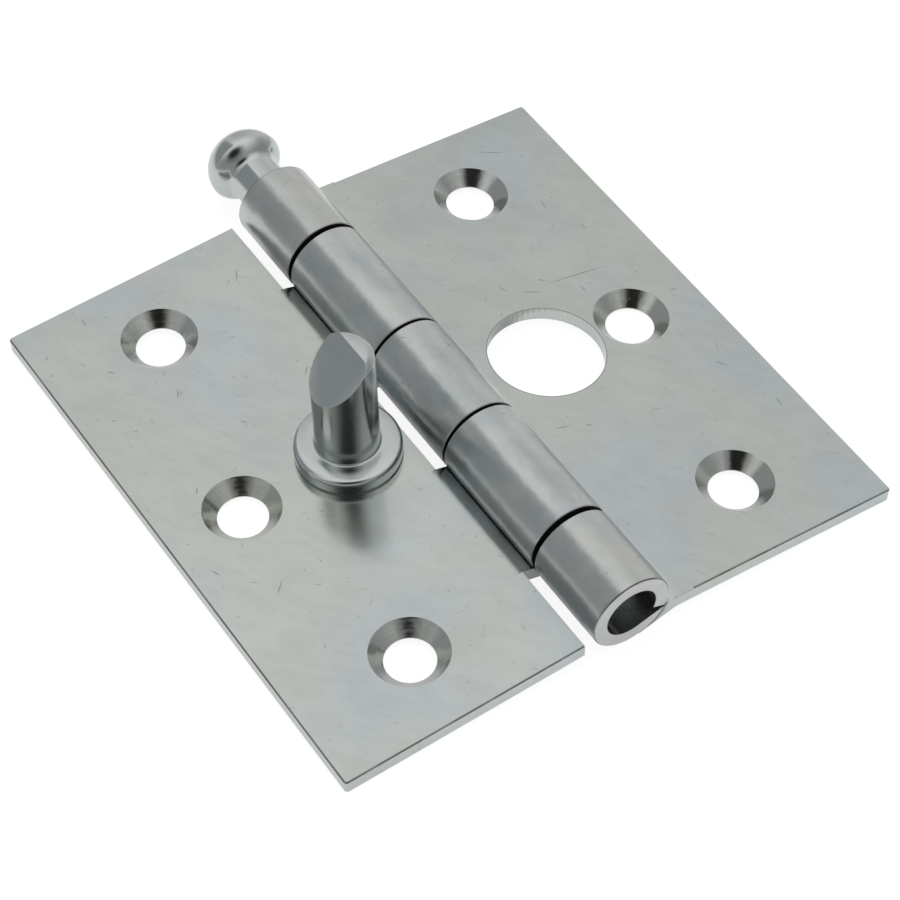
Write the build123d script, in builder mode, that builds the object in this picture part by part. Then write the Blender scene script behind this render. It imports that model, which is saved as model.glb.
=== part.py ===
from build123d import *
from math import acos, atan2, cos, degrees, hypot, radians, sin, sqrt, tan
import os

os.makedirs("parts", exist_ok=True)

# Sheet and barrel
leaf_height = 89.0
leaf_reach = 44.2
sheet = 2.1
pin_radius = 3.85
pin_clearance = 0.05
pin_lift = 1.5
notch_clearance = 1.4
corner_radius = 0.5
sheared_edge_chamfer = 0.2

# Rolled knuckles
middle_knuckle = 17.9
side_knuckle = 20.8
inner_gap = 0.4
outer_gap = 0.75
joggle_angle = 19.5
joggle_radius = 5.0
seam_gap = 0.2
knuckle_chamfer = 0.15

# Screw holes, two near the pin and one further out on each leaf
screw_hole_radius = 3.55
screw_head_radius = 5.5
screw_head_angle = 90
near_screw_reach = 26.6
far_screw_reach = 32.5
screw_spacing = 32.3

# Security stud and the hole that receives it
stud_reach = 15.45
stud_radius = 4.5
stud_height = 20.8
stud_chamfer = 0.85
stud_ridge_offset = 1.9
stud_bevel_angle = 47
stud_base_chamfer = 0.15
collar_radius = 7.5
collar_height = 2.6
collar_brow_width = 0.45
collar_brow_height = 0.4
collar_foot_chamfer = 0.4
shank_radius = 3.5
rivet_radius = 4.6
receiver_near_clearance = 1.4
receiver_far_clearance = 6.5
receiver_offset = 0.4

# Loose pin
neck_length = 6.45
neck_cove_radius = 0.6
head_radius = 5.75
head_underside_radius = 5.1
head_underside_height = 0.4
rim_height = 1.15
dome_height = 4.95
pin_end_recess = 6.0
pin_end_chamfer = 0.8

# What follows from the driving sizes
bore_radius = pin_radius + pin_clearance
barrel_radius = bore_radius + sheet
notch_reach = barrel_radius + notch_clearance
receiver_radius = stud_radius + (receiver_near_clearance + receiver_far_clearance) / 2
receiver_reach = stud_reach + (receiver_far_clearance - receiver_near_clearance) / 2
head_rise = neck_length + head_underside_height + rim_height + dome_height
leaf_centre = -head_rise / 2
leaf_end = leaf_height / 2
end_knuckle = (leaf_height - middle_knuckle) / 2 - side_knuckle - inner_gap - outer_gap
end_centre = leaf_end - end_knuckle / 2
side_centre = middle_knuckle / 2 + inner_gap + side_knuckle / 2
centre_knuckle = (0, middle_knuckle)
end_knuckles = [(side * end_centre, end_knuckle) for side in (-1, 1)]
side_knuckles = [(side * side_centre, side_knuckle) for side in (-1, 1)]

# The open hinge lies on its barrel and on the outer back edges of both leaves
back_depth = pin_lift + sheet
slant = hypot(back_depth, leaf_reach)
leaf_tilt = degrees(atan2(leaf_reach, back_depth) - acos(barrel_radius / slant))
pin_centre = Vector(0, leaf_centre, barrel_radius)
pin_axis = Axis(pin_centre, (0, 1, 0))


def turned(plane, x_angle, z_angle):
    """The plane turned about its own axes."""
    return Plane(plane.location * Rotation(x_angle, 0, z_angle))


# Section planes across the pin: x runs out along the leaf, y up from its front face
right_section = turned(Plane(pin_centre, x_dir=(1, 0, 0), z_dir=(0, -1, 0)), 0, -leaf_tilt)
left_section = turned(Plane(pin_centre, x_dir=(-1, 0, 0), z_dir=(0, 1, 0)), 0, -leaf_tilt)


def front_face(section):
    """The plane of a leaf's front face, straight under the pin axis."""
    origin = section.from_local_coords(Vector(0, -pin_lift, 0))
    return Plane(origin, x_dir=section.x_dir, z_dir=section.y_dir)


def coil_start(section):
    """The plane through the pin axis where the sheet starts to curl."""
    downward = turned(section, 0, joggle_angle - 90)
    return Plane(section.origin, x_dir=downward.x_dir, z_dir=downward.y_dir)


# The joggle: the sheet leaves the leaf's plane, dips and meets the underside of the barrel
tangent_x = sin(radians(joggle_angle))
tangent_y = -cos(radians(joggle_angle))
ramp_top = bore_radius * tangent_x + (-bore_radius * tangent_y - pin_lift) / tan(radians(joggle_angle))
joggle_reach = ramp_top + joggle_radius * tan(radians(joggle_angle / 2))
tab_root = max(joggle_reach, notch_reach) + sheet
coil_angle = 360 - degrees(acos((bore_radius - seam_gap) / barrel_radius))

with BuildSketch() as joggle_section:
    with BuildLine():
        ramp_ends = []
        for depth, bend, coil in (
            (pin_lift, joggle_radius, bore_radius),
            (back_depth, joggle_radius - sheet, barrel_radius),
        ):
            Line((tab_root, -depth), (joggle_reach, -depth))
            bend_arc = JernArc((joggle_reach, -depth), (-1, 0), bend, joggle_angle)
            ramp = Line(bend_arc @ 1, (coil * tangent_x, coil * tangent_y))
            ramp_ends.append(ramp @ 1)
        Line(ramp_ends[0], ramp_ends[1])
        Line((tab_root, -pin_lift), (tab_root, -back_depth))
    make_face()


def on_outline(edge, front):
    """Whether an edge runs round the outside of a leaf, away from the knuckles."""
    middle = front.to_local_coords(edge @ 0.5)
    at_side = middle.X > leaf_reach - corner_radius
    at_end = abs(middle.Y) > leaf_end - corner_radius / 2
    return at_side or at_end


def rolled_leaf(section, knuckles):
    """A sheared blank whose tabs are joggled and rolled round the pin."""
    front = front_face(section)
    with BuildPart() as leaf:
        with BuildSketch(front):
            with Locations(((notch_reach + leaf_reach) / 2, 0)):
                Rectangle(leaf_reach - notch_reach, leaf_height)
            for centre, length in knuckles:
                with Locations(((notch_reach + tab_root) / 2, centre)):
                    Rectangle(tab_root - notch_reach, length, mode=Mode.SUBTRACT)
        extrude(amount=-sheet)
        outward = Axis(front.origin, front.x_dir)
        outer_side = leaf.faces().sort_by(outward)[-1]
        corners = outer_side.edges().filter_by(Axis(front.origin, front.z_dir))
        fillet(corners, corner_radius)
        sheared_rim = leaf.faces().sort_by(Axis(front.origin, front.z_dir))[-1].edges()
        chamfer(sheared_rim.filter_by(lambda edge: on_outline(edge, front)), sheared_edge_chamfer)
        for centre, length in knuckles:
            with BuildSketch(section.offset(centre)):
                add(joggle_section.sketch)
            extrude(amount=length / 2, both=True)
            with BuildSketch(coil_start(section)) as wall:
                with Locations((bore_radius + sheet / 2, -centre)):
                    Rectangle(sheet, length)
                chamfer(wall.vertices().group_by(Axis.X)[-1], knuckle_chamfer)
            revolve(axis=Axis(section.origin, -section.z_dir), revolution_arc=coil_angle)
    return leaf.part


# Screw holes on a leaf's front face, as distances from the line under the pin
screw_places = [
    (near_screw_reach, screw_spacing),
    (far_screw_reach, 0),
    (near_screw_reach, -screw_spacing),
]

# Right leaf: three knuckles and the hole for the stud
with BuildPart() as leaf_three_knuckles:
    add(rolled_leaf(right_section, [centre_knuckle] + end_knuckles))
    with Locations(front_face(right_section).location):
        with Locations(*screw_places):
            CounterSinkHole(screw_hole_radius, screw_head_radius, counter_sink_angle=screw_head_angle)
        with Locations((receiver_reach, receiver_offset)):
            Hole(receiver_radius)

# Left leaf: two knuckles and the riveted stud's hole, countersunk from the back
left_front = front_face(left_section)
left_back = left_front.offset(-sheet)
with BuildPart() as leaf_two_knuckles:
    add(rolled_leaf(left_section, side_knuckles))
    with Locations(left_front.location):
        with Locations(*screw_places):
            CounterSinkHole(screw_hole_radius, screw_head_radius, counter_sink_angle=screw_head_angle)
    with Locations(Plane(left_back.origin, x_dir=left_back.x_dir, z_dir=-left_back.z_dir).location):
        with Locations((stud_reach, 0)):
            CounterSinkHole(shank_radius, rivet_radius, counter_sink_angle=screw_head_angle)

# Security stud: rivet, shank, collar and bolt turned in one piece, then bevelled.
# The collar's brow is broken by two facets that touch the round of a quarter ellipse.
stud_foot = Plane(left_front.from_local_coords(Vector(stud_reach, 0, 0)), left_front.x_dir, left_front.z_dir)
stud_side = Plane(stud_foot.origin, x_dir=stud_foot.x_dir, z_dir=-stud_foot.y_dir)
rivet_depth = rivet_radius - shank_radius
brow_turn = 1 - sqrt(1 / 2)
with BuildPart() as security_stud:
    with BuildSketch(stud_side) as half:
        with BuildLine():
            Polyline(
                (0, -sheet),
                (rivet_radius, -sheet),
                (shank_radius, rivet_depth - sheet),
                (shank_radius, 0),
                (collar_radius, 0),
                (collar_radius, collar_height - collar_brow_height),
                (collar_radius - brow_turn * collar_brow_width, collar_height - brow_turn * collar_brow_height),
                (collar_radius - collar_brow_width, collar_height),
                (stud_radius, collar_height),
                (stud_radius, stud_height - stud_chamfer),
                (stud_radius - stud_chamfer, stud_height),
                (0, stud_height),
                close=True,
            )
        make_face()
        collar_foot = half.vertices().sort_by_distance((collar_radius, 0))[0]
        chamfer(collar_foot, collar_foot_chamfer)
        stud_base = half.vertices().sort_by_distance((stud_radius, collar_height))[0]
        chamfer(stud_base, stud_base_chamfer)
    revolve(axis=Axis(stud_foot.origin, stud_foot.z_dir))
    ridge = stud_foot.from_local_coords(Vector(-stud_ridge_offset, 0, stud_height))
    bevel = Plane(ridge, x_dir=stud_foot.y_dir, z_dir=stud_foot.z_dir)
    split(bisect_by=turned(bevel, stud_bevel_angle, 0), keep=Keep.BOTTOM)

# Loose pin: plain shank, waisted neck and mushroom head, drawn along its own axis
pin_foot = Vector(0, leaf_centre - leaf_end + pin_end_recess, barrel_radius)
pin_length = leaf_height - pin_end_recess
head_start = pin_length + neck_length
rim_start = head_start + head_underside_height
widest = rim_start + rim_height
head_top = widest + dome_height
quarter_ellipse = (1, sqrt(1 / 2), 1)
with BuildPart() as hinge_pin:
    with BuildSketch(Plane(pin_foot, x_dir=(1, 0, 0), z_dir=(0, 0, 1))) as half:
        with BuildLine():
            Polyline(
                (0, head_top),
                (0, 0),
                (pin_radius - pin_end_chamfer, 0),
                (pin_radius, pin_end_chamfer),
                (pin_radius, head_start),
                (head_underside_radius, rim_start),
            )
            rim_corner = (head_radius, rim_start + rim_height / 2)
            Bezier((head_underside_radius, rim_start), rim_corner, (head_radius, widest))
            Bezier((head_radius, widest), (head_radius, head_top), (0, head_top), weights=quarter_ellipse)
        make_face()
        neck_end = half.vertices().sort_by_distance(pin_foot + Vector(pin_radius, head_start, 0))[0]
        fillet(neck_end, neck_cove_radius)
    revolve(axis=pin_axis)

for name, piece in (
    ("leaf_three_knuckles", leaf_three_knuckles),
    ("leaf_two_knuckles", leaf_two_knuckles),
    ("security_stud", security_stud),
    ("hinge_pin", hinge_pin),
):
    piece.part.label = name
    export_step(piece.part, f"parts/{name}.step")
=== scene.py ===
# %% [markdown]
# # A security butt hinge in bright zinc
# The hinge is four pieces of plated steel: two leaves whose tabs are rolled into knuckles, a loose
# pin with a ball head, and a turned stud riveted into the left leaf. The CAD frame already holds
# their true shapes. This lesson gives the leaves their finish, turns the pin and the stud once more
# with finer rounds, and sets up the light and the camera. It starts by loading the frame.

import math
from functools import reduce

import bmesh
import bpy
from mathutils import Matrix, Quaternion, Vector


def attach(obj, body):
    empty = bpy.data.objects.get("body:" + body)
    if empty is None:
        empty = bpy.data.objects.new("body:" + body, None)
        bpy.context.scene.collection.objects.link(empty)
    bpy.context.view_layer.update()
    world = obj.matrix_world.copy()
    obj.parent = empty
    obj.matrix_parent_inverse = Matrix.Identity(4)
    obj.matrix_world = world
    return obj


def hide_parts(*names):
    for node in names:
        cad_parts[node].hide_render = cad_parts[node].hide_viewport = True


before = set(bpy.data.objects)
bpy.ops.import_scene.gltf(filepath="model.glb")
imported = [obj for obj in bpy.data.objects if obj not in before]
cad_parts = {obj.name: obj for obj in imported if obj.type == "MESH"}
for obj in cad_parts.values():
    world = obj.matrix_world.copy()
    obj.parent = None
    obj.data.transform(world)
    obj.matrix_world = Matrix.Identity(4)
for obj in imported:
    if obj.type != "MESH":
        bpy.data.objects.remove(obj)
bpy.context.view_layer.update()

# %% [markdown]
# ## The hinge's own measures
# A finish that follows the metalwork needs to know where the metalwork is: the line of the pin, the
# slope of the leaves and the places of the holes. They could be read off the meshes, but the hinge
# maker's own numbers are shorter and say what they mean. All of them are millimetres, as on the
# drawing. A place on a leaf is given by its distance from the pin, and by how far along the pin it
# lies from the middle of the leaf.

# %% Measures from the drawing
mm = 0.001
pin_y_middle = -6.475
pin_height = 6.0
barrel_radius, bore_radius = 6.0, 3.9
sheet_thickness = 2.1
leaf_slope = math.radians(3.1195)
front_drop = 1.5
leaf_reach, leaf_end = 44.2, 44.5
sheared_edge = 0.2
screw_places = [(26.6, 32.3), (32.5, 0.0), (26.6, -32.3)]
screw_head_radius = 5.5
stud_reach = 15.45
receiver_reach, receiver_offset, receiver_radius = 18.0, 0.4, 8.45


def on_leaf(side, reach, along):
    """Where a place on a leaf's front face lies. Side is 1 for the right leaf, -1 for the left."""
    x = reach * math.cos(leaf_slope) - front_drop * math.sin(leaf_slope)
    z = pin_height - front_drop * math.cos(leaf_slope) - reach * math.sin(leaf_slope)
    return Vector((side * x, pin_y_middle + along, z))


# %% [markdown]
# ## Writing shaders as sums
# A worn metal finish is mostly arithmetic on patterns: this much noise, plus that scratch, times a
# mask. Adding Math nodes by hand hides the sum, so a small class wraps a socket and turns Python's
# own operators into nodes.


# %% A socket that can be added and multiplied
class Signal:
    """The output of a node. Sums and products of signals and numbers add Math nodes."""

    def __init__(self, tree, socket):
        self.tree, self.socket = tree, socket

    def math(self, operation, *values):
        made = self.tree.nodes.new("ShaderNodeMath")
        made.operation = operation
        for place, value in zip(made.inputs, values):
            plug(self.tree, value, place)
        return Signal(self.tree, made.outputs[0])

    def __add__(self, other):
        return self.math("ADD", self, other)

    def __radd__(self, other):
        return self.math("ADD", other, self)

    def __sub__(self, other):
        return self.math("SUBTRACT", self, other)

    def __rsub__(self, other):
        return self.math("SUBTRACT", other, self)

    def __mul__(self, other):
        return self.math("MULTIPLY", self, other)

    def __rmul__(self, other):
        return self.math("MULTIPLY", other, self)

    def __abs__(self):
        return self.math("ABSOLUTE", self)

    def least(self, other):
        return self.math("MINIMUM", self, other)

    def most(self, other):
        return self.math("MAXIMUM", self, other)

    def wave(self, length):
        return self.math("SINE", self * (2 * math.pi / length))


def plug(tree, value, place):
    """Links a signal to a socket, or writes a plain value on it."""
    if isinstance(value, Signal):
        tree.links.new(value.socket, place)
    else:
        place.default_value = value


print("signals ready")

# %% [markdown]
# ## A bench for node trees
# Colours and vectors can't go through Math nodes, which would turn them grey, so they get short
# methods of their own. Every other node comes from one method, which takes the node's kind, its
# settings and its inputs.


# %% One bench for each finish
class Finish:
    """A node tree being built, with the ways of adding to it."""

    def __init__(self, tree):
        self.tree = tree
        tree.nodes.clear()

    def node(self, kind, settings=None, inputs=None, output=0):
        """A node of a kind: its settings first, then the values or links of its sockets."""
        made = self.tree.nodes.new(kind)
        for name, value in (settings or {}).items():
            setattr(made, name, value)
        for name, value in (inputs or {}).items():
            plug(self.tree, value, made.inputs[name])
        return Signal(self.tree, made.outputs[output]) if made.outputs else made

    def vector(self, operation, a, b=(0, 0, 0), output=0):
        made = self.tree.nodes.new("ShaderNodeVectorMath")
        made.operation = operation
        plug(self.tree, a, made.inputs[0])
        plug(self.tree, b, made.inputs[1])
        return Signal(self.tree, made.outputs[output])

    def along(self, vector, direction):
        """How far a vector reaches in a direction."""
        return self.vector("DOT_PRODUCT", vector, direction, output="Value")

    def length(self, vector):
        return self.vector("LENGTH", vector, output="Value")

    def distance(self, a, b):
        return self.vector("DISTANCE", a, b, output="Value")

    def axis(self, vector, letter):
        """One of a vector's X, Y and Z."""
        return self.node("ShaderNodeSeparateXYZ", inputs={"Vector": vector}, output=letter)

    def fade(self, value, start, end):
        """0 at start, 1 at end, eased in between."""
        return self.node(
            "ShaderNodeMapRange",
            {"interpolation_type": "SMOOTHSTEP"},
            {"Value": value, "From Min": start, "From Max": end},
        )

    def blend(self, factor, a, b):
        """A colour between two colours."""
        made = self.tree.nodes.new("ShaderNodeMix")
        made.data_type = "RGBA"
        plug(self.tree, factor, made.inputs[0])
        plug(self.tree, a if isinstance(a, Signal) else (*a, 1), made.inputs[6])
        plug(self.tree, b if isinstance(b, Signal) else (*b, 1), made.inputs[7])
        return Signal(self.tree, made.outputs[2])

    def cloud(self, place, size, detail, seed):
        """Soft noise from 0 to 1 whose lumps are about size millimetres across."""
        moved = self.vector("ADD", place, (seed * 37, seed * 11, seed * 23))
        sockets = {"Vector": moved, "Scale": 1 / size, "Detail": detail}
        return self.node("ShaderNodeTexNoise", inputs=sockets)


print("bench ready")

# %% [markdown]
# ## Where a point is on the hinge
# Every pattern reads Object coordinates, so it stays on the metal when the hinge swings. They come
# in metres and are turned into millimetres once, so that each number after that can be checked
# against a ruler. A mark on the metal is drawn as a small box. A Mapping node moves, turns and
# scales such a box to a ball of radius 1 in one step, which renders faster than Math nodes would.


# %% Places in millimetres
def place_mm(finish):
    place = finish.node("ShaderNodeTexCoord", output="Object")
    return finish.node("ShaderNodeMapping", inputs={"Vector": place, "Scale": (1 / mm,) * 3})


def fitted(finish, place, size, turn=0.0, centre=(0, 0, 0)):
    """The place as seen from a box round centre, turned about Z, whose size counts as 1."""
    spin = (0, 0, turn)
    if isinstance(turn, Signal):
        spin = finish.node("ShaderNodeCombineXYZ", inputs={"Z": turn})
    return finish.node(
        "ShaderNodeMapping",
        {"vector_type": "TEXTURE"},
        {"Vector": place, "Location": centre, "Rotation": spin, "Scale": size},
    )


print("places ready")

# %% [markdown]
# ## Two kinds of marks
# A mark that stands out has a start and an end. The many smaller ones come from a Voronoi texture,
# which deals out a random point and three random numbers to each cell: they give a nick its length,
# its angle and whether it is there at all. Both are seen from straight above, so a mark is as deep
# as the metal.

# %% Placed and random marks
any_depth = 1000.0


def scratch(finish, place, start, end, width):
    """How far a place is from a straight scratch: 0 in its middle, 1 where it has run out."""
    run = end - start
    centre = (*((start + end) / 2), 0)
    size = (run.length * 0.55, width, any_depth)
    return finish.length(fitted(finish, place, size, math.atan2(run.y, run.x), centre))


def nicks(finish, place, spacing, length, width, share, seed):
    """Short strokes at random places and angles: one in a share of cells a spacing wide."""
    moved = finish.vector("ADD", place, (seed * 7.3, seed * 3.1, 0))
    sockets = {"Vector": moved, "Scale": 1 / spacing}
    middle = finish.node("ShaderNodeTexVoronoi", {"voronoi_dimensions": "2D"}, sockets, "Position")
    chance = Signal(finish.tree, middle.socket.node.outputs["Color"])
    red, green, blue = (finish.along(chance, axis) for axis in ((1, 0, 0), (0, 1, 0), (0, 0, 1)))
    reach = (0.25 + green * 0.75) * length
    size = finish.node("ShaderNodeCombineXYZ", inputs={"X": reach, "Y": width, "Z": any_depth})
    stroke = finish.length(fitted(finish, moved, size, red * (2 * math.pi), middle))
    return finish.fade(stroke, 1.0, 0.3) * finish.fade(blue, 1 - share, 1.02 - share)


print("marks ready")

# %% [markdown]
# ## Bright zinc on pressed sheet
# The leaves are cold rolled sheet with a thin bright zinc plating. Up close the plating is a satin
# mirror: it blurs what it reflects, the blur differs in soft patches, and the passivation leaves a
# faint bluish and yellowish cast. A single grey would read as plastic, so colour, roughness and
# bump each get their own sum of patterns. The noises come first. Those of handling are longer than
# they are wide, because a hand or a rag wipes in one direction.


# %% Noises on the sheet
def new_finish(name):
    """A new material and the bench for its nodes."""
    material = bpy.data.materials.new(name)
    material.use_nodes = True
    return material, Finish(material.node_tree)


plated_sheet, zinc = new_finish("plated_sheet")
place = place_mm(zinc)
patches = zinc.cloud(place, size=9.0, detail=3.0, seed=1.3)
broad = zinc.cloud(place, size=26.0, detail=1.0, seed=7.1)
tint = zinc.cloud(place, size=16.0, detail=1.0, seed=4.4)
mottle = zinc.cloud(place, size=0.55, detail=1.0, seed=9.5)
dents = zinc.cloud(place, size=4.5, detail=1.0, seed=3.7)
ripples = zinc.cloud(place, size=1.7, detail=1.0, seed=5.3)
handled = zinc.cloud(fitted(zinc, place, (3.3, 8.3, 3.3)), size=1.0, detail=2.0, seed=8.2)
wiped = fitted(zinc, place, (2.0, 4.5, 2.0), math.radians(35))
smears = zinc.fade(zinc.cloud(wiped, size=1.0, detail=3.0, seed=1.9), 0.42, 0.62)
print("noises", len(plated_sheet.node_tree.nodes), "nodes")

# %% [markdown]
# ## The rolled barrel
# The tabs were rolled cold round a bar, so the barrel is a little uneven, and it is the most handled
# part of the hinge. Almost no light gets into the gaps between the knuckles, so they are painted
# near black as shade. Little light gets into the bore either, and its inside is a darker grey of its
# own.
# Each of these is a mask from 0 to 1, worked out from the distance to the pin's line and the
# distance from the leaf's middle, so it sits on the metal's true edges.

# %% Masks of the barrel
knuckle_gaps = [(9.15, 0.22), (30.525, 0.39)]
end_knuckle_start, end_knuckle_full = 30.4, 30.7
from_pin = zinc.vector("SUBTRACT", place, (0, 0, pin_height))
pin_distance = zinc.length(zinc.vector("MULTIPLY", from_pin, (1, 0, 1)))
from_middle = abs(zinc.axis(place, "Y") - pin_y_middle)
barrel = zinc.fade(pin_distance, barrel_radius + 0.7, barrel_radius + 0.2)
beside_barrel = zinc.fade(pin_distance, 10.5, 8.5)
bore = zinc.fade(pin_distance, bore_radius + 0.12, bore_radius + 0.06)
end_knuckle = zinc.fade(from_middle, end_knuckle_start, end_knuckle_full)
gap_sides = [zinc.fade(abs(from_middle - gap), half + 0.06, half) for gap, half in knuckle_gaps]
# Painted shade: the gaps between the knuckles are darkened to near black, as no light gets in.
shaded_gaps = reduce(Signal.most, gap_sides)
shaded_gaps = shaded_gaps * zinc.fade(pin_distance, barrel_radius, barrel_radius - 0.1)
# Painted shade: a thin dark line on the rims at the barrel's ends.
rim = zinc.fade(from_middle, leaf_end - 0.24, leaf_end - 0.16)
rim = rim * zinc.fade(pin_distance, barrel_radius - 0.16, barrel_radius - 0.12) * barrel
print("seams at", [gap for gap, half in knuckle_gaps], "mm on both sides of the middle")

# %% [markdown]
# ## Sheared edges
# Shears leave a narrow slope round a leaf's front face, which looks dark because it faces away from
# the light, and that shade is painted into its colour. It is found in the leaf's own measures: how
# far a point reaches out along the leaf and how deep it lies under the front face.

# %% Mask of the sheared edge
outward = abs(zinc.axis(place, "X"))
above_pin = zinc.axis(place, "Z") - pin_height
reach = outward * math.cos(leaf_slope) - above_pin * math.sin(leaf_slope)
depth = -front_drop - above_pin * math.cos(leaf_slope) - outward * math.sin(leaf_slope)
at_end = zinc.fade(from_middle, leaf_end - sheared_edge, leaf_end - sheared_edge + 0.04)
at_side = zinc.fade(reach, leaf_reach - sheared_edge, leaf_reach - sheared_edge + 0.04)
below_face = zinc.fade(depth, 0.015, 0.04)
on_slope = zinc.fade(depth, sheared_edge + 0.02, sheared_edge - 0.01)
past_barrel = zinc.fade(reach, 7.0, 7.5)
sheared = at_end.most(at_side) * below_face * on_slope * past_barrel
sheared = sheared * (0.25 + 0.35 * zinc.fade(handled, 0.4, 0.6))
print("sheared edge", sheared_edge, "mm wide")

# %% [markdown]
# ## Holes
# The screw holes were countersunk after rolling and show the cutter's rings, which are waves of the
# distance from the nearest hole's middle. The large hole that receives the stud gets a fine line of
# painted shade round its rim.

# %% Masks of the holes
flat = zinc.vector("MULTIPLY", place, (1, 1, 0))


def from_hole(side, reach, along):
    """The distance from the middle of a leaf's hole, seen from above."""
    middle = on_leaf(side, reach, along)
    return zinc.distance(flat, (middle.x, middle.y, 0))


receiver_distance = from_hole(1, receiver_reach, receiver_offset)
shaded_receiver_rim = zinc.fade(receiver_distance, receiver_radius + 0.16, receiver_radius + 0.08)
shaded_receiver_rim = shaded_receiver_rim * zinc.fade(receiver_distance, receiver_radius - 0.03, receiver_radius)
screw_distances = [from_hole(side, *screw) for side in (-1, 1) for screw in screw_places]
screw_distance = reduce(Signal.least, screw_distances)
sink = zinc.fade(screw_distance, screw_head_radius + 0.02, screw_head_radius - 0.08)
rings = (screw_distance.wave(0.47) + 0.6 * screw_distance.wave(0.17)) * sink
print(len(screw_distances), "countersinks")

# %% [markdown]
# ## What handling left
# Bright plating shows every knock. The marks that stand out are placed one by one, each from its
# start to its end on the leaf.

# %% Marks that stand out
mark_width = 0.16
right_leaf_marks = [
    ((34.9, 26.3), (34.4, 23.8)),
    ((37.0, 19.2), (37.3, 17.6)),
    ((19.3, 14.5), (19.8, 12.9)),
    ((21.5, 11.9), (24.4, 10.2)),
    ((25.1, 12.8), (26.0, 11.8)),
    ((29.6, 8.8), (29.8, 7.1)),
    ((40.3, 1.7), (41.7, 0.9)),
    ((32.0, 39.6), (36.5, 36.8)),
    ((25.0, 11.5), (36.0, 10.0)),
    ((10.5, -12.0), (13.0, -12.8)),
    ((14.5, -13.6), (15.8, -14.2)),
    ((37.5, -13.0), (38.8, -15.0)),
    ((41.0, -22.5), (40.6, -25.0)),
]
left_leaf_marks = [
    ((11.0, 37.2), (12.2, 35.0)),
    ((33.9, 42.0), (34.1, 39.8)),
    ((29.0, 23.0), (30.1, 21.1)),
    ((24.9, 13.0), (24.2, 12.1)),
    ((39.7, 23.3), (38.9, 22.7)),
    ((41.4, 38.4), (41.7, 37.8)),
    ((42.3, 35.3), (42.6, 34.7)),
    ((37.9, 19.8), (37.5, 19.4)),
    ((35.7, 31.2), (34.9, 30.3)),
    ((12.0, 16.2), (13.2, 14.8)),
    ((35.6, 6.6), (36.4, 5.4)),
    ((41.2, -6.4), (40.6, -8.0)),
    ((34.0, -13.0), (36.2, -15.0)),
]


def from_mark(side, start, end):
    ends = on_leaf(side, *start).to_2d(), on_leaf(side, *end).to_2d()
    return scratch(zinc, place, *ends, mark_width)


mark_distances = [from_mark(1, *ends) for ends in right_leaf_marks]
mark_distances += [from_mark(-1, *ends) for ends in left_leaf_marks]
marks = zinc.fade(reduce(Signal.least, mark_distances), 1.0, 0.3)
print(len(mark_distances), "marks placed")

# %% [markdown]
# ## The smaller marks
# Nicks, dots and faint rubs are random, at the size and about the number of the real ones. Fine
# lines run in two directions, where the hinge slid over others: a noise stretched to hairs, kept
# only in some patches.


# %% Random marks and fine lines
def fine_lines(turn, seed, edge):
    """Hairlines in one direction. A higher edge leaves fewer of them."""
    stretched = fitted(zinc, place, (10.0, 0.17, 10.0), math.radians(turn))
    lines = zinc.cloud(stretched, size=1.0, detail=2.0, seed=seed)
    patch = zinc.cloud(place, size=7.0, detail=1.0, seed=seed + 20)
    return zinc.fade(lines, edge, edge + 0.05) * zinc.fade(patch, 0.52, 0.66)


short = nicks(zinc, place, spacing=6.5, length=0.9, width=0.12, share=0.7, seed=1.0)
dots = nicks(zinc, place, spacing=4.5, length=0.24, width=0.17, share=0.5, seed=2.0)
rubs = nicks(zinc, place, spacing=8.0, length=1.5, width=0.22, share=0.8, seed=3.0)
small = short.most(dots)
fine = fine_lines(turn=24, seed=3.1, edge=0.70).most(fine_lines(turn=-52, seed=8.7, edge=0.715))
print("with the marks", len(plated_sheet.node_tree.nodes), "nodes")

# %% [markdown]
# ## The sheet's colour
# The colour starts as zinc that drifts between its two casts, and gets its worn tones on the barrel.
# Noise then makes it lighter and darker by a few percent. After that each mask lays its own tone
# over what is there, the painted shade of the gaps and edges near the end.

# %% Colour of the sheet
zinc_blue, zinc_yellow = (0.515, 0.555, 0.57), (0.545, 0.57, 0.535)
worn_blue, worn_pale, worn_end = (0.457, 0.491, 0.503), (0.572, 0.583, 0.577), (0.54, 0.535, 0.515)
mark_grey, nick_grey, rub_grey = (0.27, 0.28, 0.27), (0.29, 0.30, 0.29), (0.36, 0.37, 0.36)
cut_zinc, bore_grey = (0.56, 0.575, 0.535), (0.27, 0.28, 0.25)
# The last two of these tones are painted shade: near black in the knuckle gaps, dark on the edges.
painted_gap_shade, painted_edge_shade = (0.05, 0.055, 0.05), (0.12, 0.13, 0.13)

colour = zinc.blend(zinc.fade(tint, 0.30, 0.70), zinc_blue, zinc_yellow)
worn = zinc.blend(zinc.fade(handled, 0.35, 0.65), worn_blue, worn_pale)
worn = zinc.blend(end_knuckle * 0.55, worn, worn_end)
colour = zinc.blend(barrel * 0.7, colour, worn)
lift = (patches - 0.5) * 0.14 + (broad - 0.5) * 0.12 + (mottle - 0.5) * 0.05 - smears * 0.035
colour = zinc.node("ShaderNodeHueSaturation", inputs={"Color": colour, "Value": 1.0 + lift})
overlays = [
    (marks * 0.68, mark_grey),
    (small * 0.48, nick_grey),
    (rubs * 0.26, rub_grey),
    (fine * 0.22, rub_grey),
    (sink * 0.6, cut_zinc),
    # painted shade, near black, in the gaps between the knuckles
    (shaded_gaps, painted_gap_shade),
    # painted shade on the barrel's end rims, the sheared edges and round the large hole
    ((rim * 0.75).most(sheared).most(shaded_receiver_rim * 0.6), painted_edge_shade),
    (bore * 0.35, bore_grey),
]
for share, tone in overlays:
    colour = zinc.blend(share, colour, tone)
print(len(overlays), "tones laid over the zinc")

# %% [markdown]
# ## Blur and bump
# Roughness decides how much the mirror blurs: more beside the barrel and in the marks, less where
# the cutter has been. The bump is only hundredths of a millimetre high, yet it bends the barrel's
# reflections as uneven rolling does.


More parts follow.
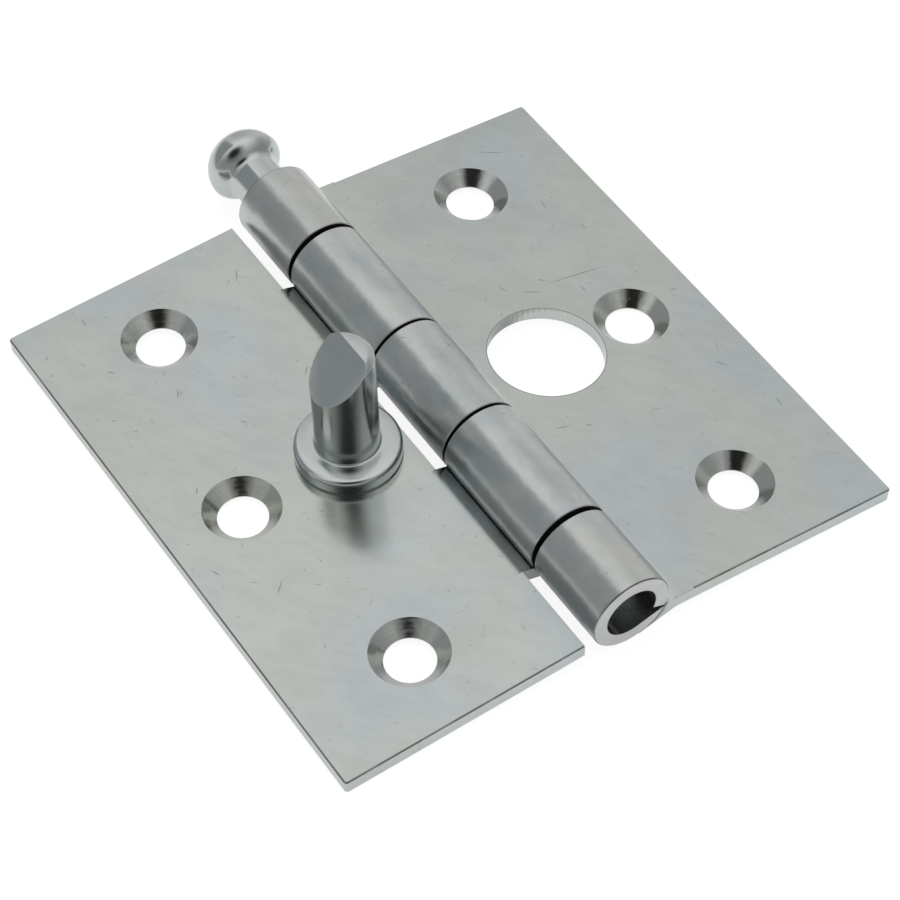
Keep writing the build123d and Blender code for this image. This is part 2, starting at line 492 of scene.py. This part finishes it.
# %% Roughness, bump and shader of the sheet
def metal(finish, colour, roughness, height, bump_mm):
    """Ends a finish: a metal shader whose bump rises by bump_mm where the height is 1."""
    sockets = {"Strength": 1.0, "Distance": bump_mm * mm, "Height": height}
    bump = finish.node("ShaderNodeBump", inputs=sockets)
    sockets = {"Base Color": colour, "Roughness": roughness, "Metallic": 1.0, "Normal": bump}
    shader = finish.node("ShaderNodeBsdfPrincipled", inputs=sockets)
    finish.node("ShaderNodeOutputMaterial", inputs={"Surface": shader})


satin = 0.17
roughness = (
    satin
    + beside_barrel * 0.07
    + (patches - 0.5) * 0.08
    + (broad - 0.5) * 0.06
    + barrel * 0.04
    + fine * 0.12
    + marks.most(small) * 0.2
    - sink * 0.05
    + shaded_gaps * 0.3
)
height = (
    (dents - 0.5) * (0.3 + barrel * 3.4)
    + (ripples - 0.5) * (0.05 + barrel * 0.9 + sink)
    + rings * 0.03
)
metal(zinc, colour, roughness, height, bump_mm=0.04)
print("sheet finish", len(plated_sheet.node_tree.nodes), "nodes")

# %% [markdown]
# ## Bright zinc on turned steel
# The pin and the stud come off a lathe, and the zinc is too thin to hide the tool's rings. The rings
# follow the distance along each piece's own axis and, on flat ends, the distance from it. The pin
# lies along Y, the stud stands square on the sloping left leaf.

# %% The turned pieces' finish
turned_blue, turned_yellow, speck_grey = (0.51, 0.55, 0.565), (0.54, 0.565, 0.55), (0.37, 0.38, 0.36)


def turned_finish(name, origin, axis):
    material, f = new_finish(name)
    place = place_mm(f)
    from_origin = f.vector("SUBTRACT", place, tuple(origin))
    along_axis = f.along(from_origin, tuple(axis))
    sockets = {0: tuple(axis), "Scale": along_axis}
    on_axis = f.node("ShaderNodeVectorMath", {"operation": "SCALE"}, sockets)
    radius = f.distance(from_origin, on_axis)
    wander = f.cloud(place, size=3.0, detail=2.0, seed=6.0) * 0.08
    rings = (along_axis + radius + wander).wave(0.31)
    rings = rings + 0.7 * (along_axis - radius + wander).wave(0.17)
    patches = f.cloud(place, size=4.0, detail=3.0, seed=2.5)
    specks = f.cloud(place, size=0.6, detail=3.0, seed=5.5)
    colour = f.blend(patches, turned_blue, turned_yellow)
    colour = f.blend(f.fade(specks, 0.62, 0.75) * 0.3, colour, speck_grey)
    roughness = 0.16 + (patches - 0.5) * 0.08 + rings * 0.01
    height = rings * 0.02 + (specks - 0.5) * 0.02 + (patches - 0.5) * 0.25
    metal(f, colour, roughness, height, bump_mm=0.03)
    print(name, len(material.node_tree.nodes), "nodes")
    return material


print("turned finish ready")

# %% [markdown]
# ## Turning on a lathe
# The pin and the stud are turned from bar. On a lathe a shape is half an outline going round, and
# bmesh has the same tool, spin. The drawing already holds both pieces, but with their edges broken
# by small flats. Bright metal shows each flat as a hard line, so both are turned again here with
# the rounds and coves that a lathe leaves.


# %% Outlines and the lathe
def drawn(start, corner, end, share):
    """A number that has gone a share of the way from start to end, drawn towards corner."""
    left = 1 - share
    return left**2 * start + 2 * share * left * corner + share**2 * end


def bend(start, corner, end, steps=8):
    """Points along a smooth curve that leaves start towards corner and comes into end from it."""
    shares = [step / steps for step in range(steps + 1)]
    return [tuple(drawn(*ends, share) for ends in zip(start, corner, end)) for share in shares]


def turned(outline, steps=96):
    """An outline of distances from the axis and heights along it, spun round Z."""
    shape = bmesh.new()
    corners = [shape.verts.new((distance * mm, 0, height * mm)) for distance, height in outline]
    edges = [shape.edges.new(pair) for pair in zip(corners, corners[1:])]
    bmesh.ops.spin(
        shape, geom=corners + edges, cent=(0, 0, 0), axis=(0, 0, 1), dvec=(0, 0, 0),
        angle=2 * math.pi, steps=steps, use_merge=True,
    )
    bmesh.ops.remove_doubles(shape, verts=shape.verts, dist=1e-7)
    bmesh.ops.recalc_face_normals(shape, faces=shape.faces)
    return shape


print("lathe ready")

# %% [markdown]
# ## Setting a piece down
# A turned shape starts upright at the origin. Its place goes into its mesh, as with the CAD's own
# nodes, so that its patterns stay where they are. It then rides on its body and stands for its node.
# Edges that bend by more than the crisp angle stay sharp, and all others are shaded smooth.

# %% From a shape to a piece
crisp_angle = math.radians(32)


def set_down(shape, name, place, body, node):
    """Moves a turned shape to its place and makes it the piece that stands for a node."""
    bmesh.ops.transform(shape, matrix=place, verts=shape.verts)
    for face in shape.faces:
        face.smooth = True
    for edge in shape.edges:
        edge.smooth = not edge.is_manifold or edge.calc_face_angle() < crisp_angle
    mesh = bpy.data.meshes.new(name)
    shape.to_mesh(mesh)
    shape.free()
    piece = bpy.data.objects.new(name, mesh)
    bpy.context.scene.collection.objects.link(piece)
    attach(piece, body)
    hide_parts(node)
    print(name, len(mesh.polygons), "faces", [round(v / mm, 2) for v in piece.dimensions])
    return piece


print("pieces can be set down")

# %% [markdown]
# ## The security stud
# The stud is one turned piece: a rivet under the leaf, a broad collar on it and a thick bolt. The
# collar is slightly crowned with a rounded edge, a small cove leads up into the bolt, and the
# bolt's rim is a narrow slope whose corners are rubbed round. The outline runs from the rivet up to
# the bolt's end.

# %% Outline of the stud
rivet_radius, shank_radius = 4.6, 3.5
collar_radius, collar_height, collar_foot = 7.5, 2.6, 0.35
edge_bottom, edge_corner, edge_top = (collar_radius, 1.5), (collar_radius, 2.24), (6.95, 2.38)
crown_corner, crown_start = (6.07, collar_height), (5.4, collar_height)
stud_height, stud_radius, cove = 20.8, 4.5, 0.35
cove_foot, cove_top = (stud_radius + cove, collar_height), (stud_radius, collar_height + cove)
rubbed_rim = [(4.5, 19.85), (4.44, 19.98), (4.30, 20.16), (3.85, 20.60), (3.68, 20.73), (3.5, 20.8)]
stud_outline = [
    (0, -sheet_thickness),
    (rivet_radius, -sheet_thickness),
    (shank_radius, rivet_radius - shank_radius - sheet_thickness),
    (shank_radius, 0.0),
    (collar_radius - collar_foot, 0.0),
    (collar_radius, collar_foot),
]
stud_outline += bend(edge_bottom, edge_corner, edge_top)
stud_outline += bend(edge_top, crown_corner, crown_start)[1:]
stud_outline += bend(cove_foot, (stud_radius, collar_height), cove_top, steps=5)
stud_outline += rubbed_rim + [(0, stud_height)]
print("stud outline", len(stud_outline), "points")

# %% [markdown]
# ## The stud's slant
# The bolt's end is cut off at a slant on the side away from the pin, so that it finds its hole as
# the door shuts. A plane cuts the turned shape, one face closes the cut, and a small bevel eases
# the rim of that face. The stud is then stood square on the sloping leaf.

# %% Cut the stud and set it down
slant, ridge_offset, eased_rim = math.radians(47), 1.9, 0.1
stud_shape = turned(stud_outline)
cut = bmesh.ops.bisect_plane(
    stud_shape, geom=stud_shape.verts[:] + stud_shape.edges[:] + stud_shape.faces[:], dist=1e-8,
    plane_co=(-ridge_offset * mm, 0, stud_height * mm),
    plane_no=(math.sin(slant), 0, math.cos(slant)), clear_outer=True,
)
cut_rim = [edge for edge in cut["geom_cut"] if isinstance(edge, bmesh.types.BMEdge)]
facet = bmesh.ops.edgeloop_fill(stud_shape, edges=cut_rim)["faces"][0]
bmesh.ops.bevel(
    stud_shape, geom=list(facet.edges), offset=eased_rim * mm, offset_type="OFFSET", segments=2,
    profile=0.5, affect="EDGES", clamp_overlap=True, material=-1,
)
bmesh.ops.recalc_face_normals(stud_shape, faces=stud_shape.faces)
stud_foot = on_leaf(-1, stud_reach, 0.0)
leaf_normal = Vector((-math.sin(leaf_slope), 0, math.cos(leaf_slope)))
upright = Vector((0, 0, 1)).rotation_difference(leaf_normal).to_matrix().to_4x4()
stud_place = Matrix.Translation(stud_foot * mm) @ upright @ Matrix.Rotation(math.pi, 4, "Z")
stud = set_down(stud_shape, "turned_stud", stud_place, "stud_leaf", "security_stud")

# %% [markdown]
# ## The loose pin
# The pin is plain up to its neck. Its head is a flattened ball: the underside comes off the neck in
# a cove and swells over a round rim into the dome, so that a finger or a drift can get behind it.
# The outline runs along the pin, from its lower end to the top of the head.

# %% Turn the pin and set it down
pin_radius, head_radius, foot_chamfer = 3.85, 5.75, 0.8
pin_foot, head_widest, head_top = -44.975, 46.025, 50.975
neck_start = 38.0
cove_start, cove_corner, underside = (pin_radius, 42.9), (3.92, 43.75), (4.4, 44.12)
rim_corner, rim_top = (5.62, 45.05), (head_radius, head_widest)
dome_height, dome_steps = head_top - head_widest, 20
pin_outline = [(0, pin_foot), (pin_radius - foot_chamfer, pin_foot)]
pin_outline += [(pin_radius, pin_foot + foot_chamfer), (pin_radius, neck_start)]
pin_outline += bend(cove_start, cove_corner, underside, steps=7)
pin_outline += bend(underside, rim_corner, rim_top, steps=12)[1:]
for step in range(1, dome_steps):
    turn = math.radians(90 * step / dome_steps)
    pin_outline.append((head_radius * math.cos(turn), head_widest + dome_height * math.sin(turn)))
pin_outline.append((0, head_top))
lying = Matrix.Translation((0, 0, pin_height * mm)) @ Matrix.Rotation(math.radians(-90), 4, "X")
pin = set_down(turned(pin_outline), "turned_pin", lying, "pin", "hinge_pin")

# %% [markdown]
# ## Plating the pieces
# All four pieces are plated the same way, but each shape shows it differently. Both leaves share one
# finish, which knows left from right by its place. The turned pieces each get their own, with the
# rings round their own axis.

# %% Give the pieces their finish
for node in ("leaf_three_knuckles", "leaf_two_knuckles"):
    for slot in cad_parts[node].material_slots:
        slot.material = plated_sheet
    print(node, "wears", plated_sheet.name)
stud.data.materials.append(turned_finish("plated_stud", stud_foot, leaf_normal))
pin_middle = Vector((0, pin_y_middle, pin_height))
pin.data.materials.append(turned_finish("plated_pin", pin_middle, Vector((0, 1, 0))))

# %% [markdown]
# ## The table
# The hinge is photographed on white. The table is a pale plane that shows as white to the camera,
# and still takes a little light of its own, so that the hinge's soft shadow stays on it. What the
# metal sees of the table is a glow that fades further out. Under the leaves it is about half as
# strong, because they keep the light from it, except round the large hole, which lets light in.


# %% What the metal sees of the table
def grey(level):
    return (level, level, level)


near_glow, far_glow, shade_under_leaves = grey(0.6), grey(0.15), 0.52


def table_glow(f):
    place = place_mm(f)
    glow = f.blend(f.fade(f.length(place), 60, 170), near_glow, far_glow)
    from_pin = abs(f.axis(place, "X"))
    from_middle = abs(f.axis(place, "Y") - pin_y_middle)
    under = f.fade(from_pin, 42, 38) * f.fade(from_middle, 43, 39)
    receiver = on_leaf(1, receiver_reach, receiver_offset)
    from_receiver = f.distance(place, (receiver.x, receiver.y, 0))
    under = under * f.fade(from_receiver, 9, 13)
    return f.blend(under * shade_under_leaves, glow, grey(0.0))


print("glow ready")


# %% A pale table
def paper(f, level):
    return f.node("ShaderNodeBsdfDiffuse", inputs={"Color": (*grey(level), 1)})


def table_finish():
    material, f = new_finish("table_white")
    lift = f.node("ShaderNodeEmission", inputs={"Color": (*grey(0.88), 1)})
    soft = f.node("ShaderNodeEmission", inputs={"Color": table_glow(f)})
    to_camera = f.node("ShaderNodeAddShader", inputs={0: paper(f, 0.3), 1: lift})
    to_metal = f.node("ShaderNodeAddShader", inputs={0: paper(f, 0.6), 1: soft})
    in_metal = f.node("ShaderNodeLightPath", output="Is Glossy Ray")
    bounced = f.node("ShaderNodeMixShader", inputs={0: in_metal, 1: paper(f, 0.8), 2: to_metal})
    seen = f.node("ShaderNodeLightPath", output="Is Camera Ray")
    shown = f.node("ShaderNodeMixShader", inputs={0: seen, 1: bounced, 2: to_camera})
    f.node("ShaderNodeOutputMaterial", inputs={"Surface": shown})
    return material


table_shape = bmesh.new()
bmesh.ops.create_grid(table_shape, x_segments=1, y_segments=1, size=1.5)
table_mesh = bpy.data.meshes.new("table_top")
table_shape.to_mesh(table_mesh)
table_shape.free()
table_mesh.materials.append(table_finish())
table = bpy.data.objects.new("table_top", table_mesh)
bpy.context.scene.collection.objects.link(table)
print("table laid")

# %% [markdown]
# ## The tent's cloth
# Satin metal shows the room more than itself, so the room is a light tent. Its cloth is brightest
# overhead, brighter to the right and the back than elsewhere low down, and a little darker towards
# the front. A world shader can say that in a few sums on the direction looked at, with no lamps to
# hide from the other views.


# %% Brightness of the cloth
def degrees_from(f, look, direction, start, end):
    """A mask round a direction: 0 from start degrees outwards, 1 from end degrees inwards."""
    nearness = f.along(look, direction)
    return f.fade(nearness, math.cos(math.radians(start)), math.cos(math.radians(end)))


toward_window = (0.935, 0.34, 0.1)
low_light, back_light, window_light = 0.46, 0.12, 0.2
high_light, overhead_light, front_shade = 0.72, 0.9, 0.2


def cloth_light(f, look, up, back):
    """How bright the tent's cloth is in a direction."""
    window = degrees_from(f, look, toward_window, 50, 15)
    low = low_light + back_light * f.fade(back, 0.2, 0.5) + window_light * window
    cloth = low + (high_light - low) * f.fade(up, 0.35, 0.66)
    cloth = cloth + overhead_light * (up - 0.65).most(0)
    return cloth * (1 - front_shade * f.fade(back, 0.2, -0.2) * f.fade(up, 0.78, 0.6))


print("cloth ready")

# %% [markdown]
# ## The studio
# A grey screen hangs at the back left with a lighter strip beside it, and the dark front of the
# camera looks in through the opening, with a dimmer ring round it. The metal mirrors them all, and
# that is what shows its rounds. The camera itself sees plain white.

# %% The light tent
screen_light, strip_light = 0.36, 0.13
toward_camera = (-0.370, -0.535, 0.759)
dusk_shade, lens_shade = 0.5, 0.93
warm_cloth, cool_screen = (1.0, 1.0, 0.985), (0.96, 1.0, 1.02)


def light_tent():
    world = bpy.data.worlds.new("light_tent")
    bpy.context.scene.world = world
    world.use_nodes = True
    f = Finish(world.node_tree)
    look = f.node("ShaderNodeTexCoord", output="Generated")
    up, back = f.along(look, (0, 0, 1)), f.along(look, (0, 1, 0))
    leftward = f.along(look, (-1, 0, -0.25))
    behind = f.fade(back, 0.1, 0.4)
    strip = f.fade(leftward, -0.26, -0.08) * behind
    screen = f.fade(leftward, -0.05, 0.05) * behind
    tent = cloth_light(f, look, up, back) + strip * strip_light
    tent = tent * (1 - screen) + screen_light * screen
    dusk = degrees_from(f, look, toward_camera, 37, 20)
    lens = degrees_from(f, look, toward_camera, 24, 12)
    light = tent * (1 - dusk * dusk_shade) * (1 - lens * lens_shade)
    tone = f.blend(light, grey(0.0), f.blend(screen, warm_cloth, cool_screen))
    room = f.node("ShaderNodeBackground", inputs={"Color": tone, "Strength": 1.0})
    white = f.node("ShaderNodeBackground", inputs={"Color": (1, 1, 1, 1), "Strength": 1.0})
    seen = f.node("ShaderNodeLightPath", output="Is Camera Ray")
    both = f.node("ShaderNodeMixShader", inputs={0: seen, 1: room, 2: white})
    f.node("ShaderNodeOutputWorld", inputs={"Surface": both})
    print("tent lit with", len(world.node_tree.nodes), "nodes")


light_tent()

# %% [markdown]
# ## The camera
# The photograph was taken with a long lens from the lower left, looking down steeply. The camera is
# set by the point it aims at, its distance, its bearing and pitch, and a slight roll.

# %% Aim the camera
aim = Vector((-4.64, -15.29, 5.91)) * mm
distance = 400.94 * mm
bearing, pitch, roll = math.radians(34.98), math.radians(-50.42), math.radians(1.769)
level = math.cos(pitch)
forward = Vector((math.sin(bearing) * level, math.cos(bearing) * level, math.sin(pitch)))
camera_data = bpy.data.cameras.new("camera")
camera_data.sensor_width = 36.0
camera_data.lens = 118.147
camera_data.clip_start, camera_data.clip_end = 0.01, 10.0
camera = bpy.data.objects.new("camera", camera_data)
camera.rotation_mode = "QUATERNION"
camera.location = aim - forward * distance
camera.rotation_quaternion = forward.to_track_quat("-Z", "Y") @ Quaternion((0, 0, 1), roll)
bpy.context.scene.collection.objects.link(camera)
bpy.context.scene.camera = camera
bpy.context.scene.view_settings.view_transform = "Standard"
print("camera at", [round(v / mm, 2) for v in camera.location])
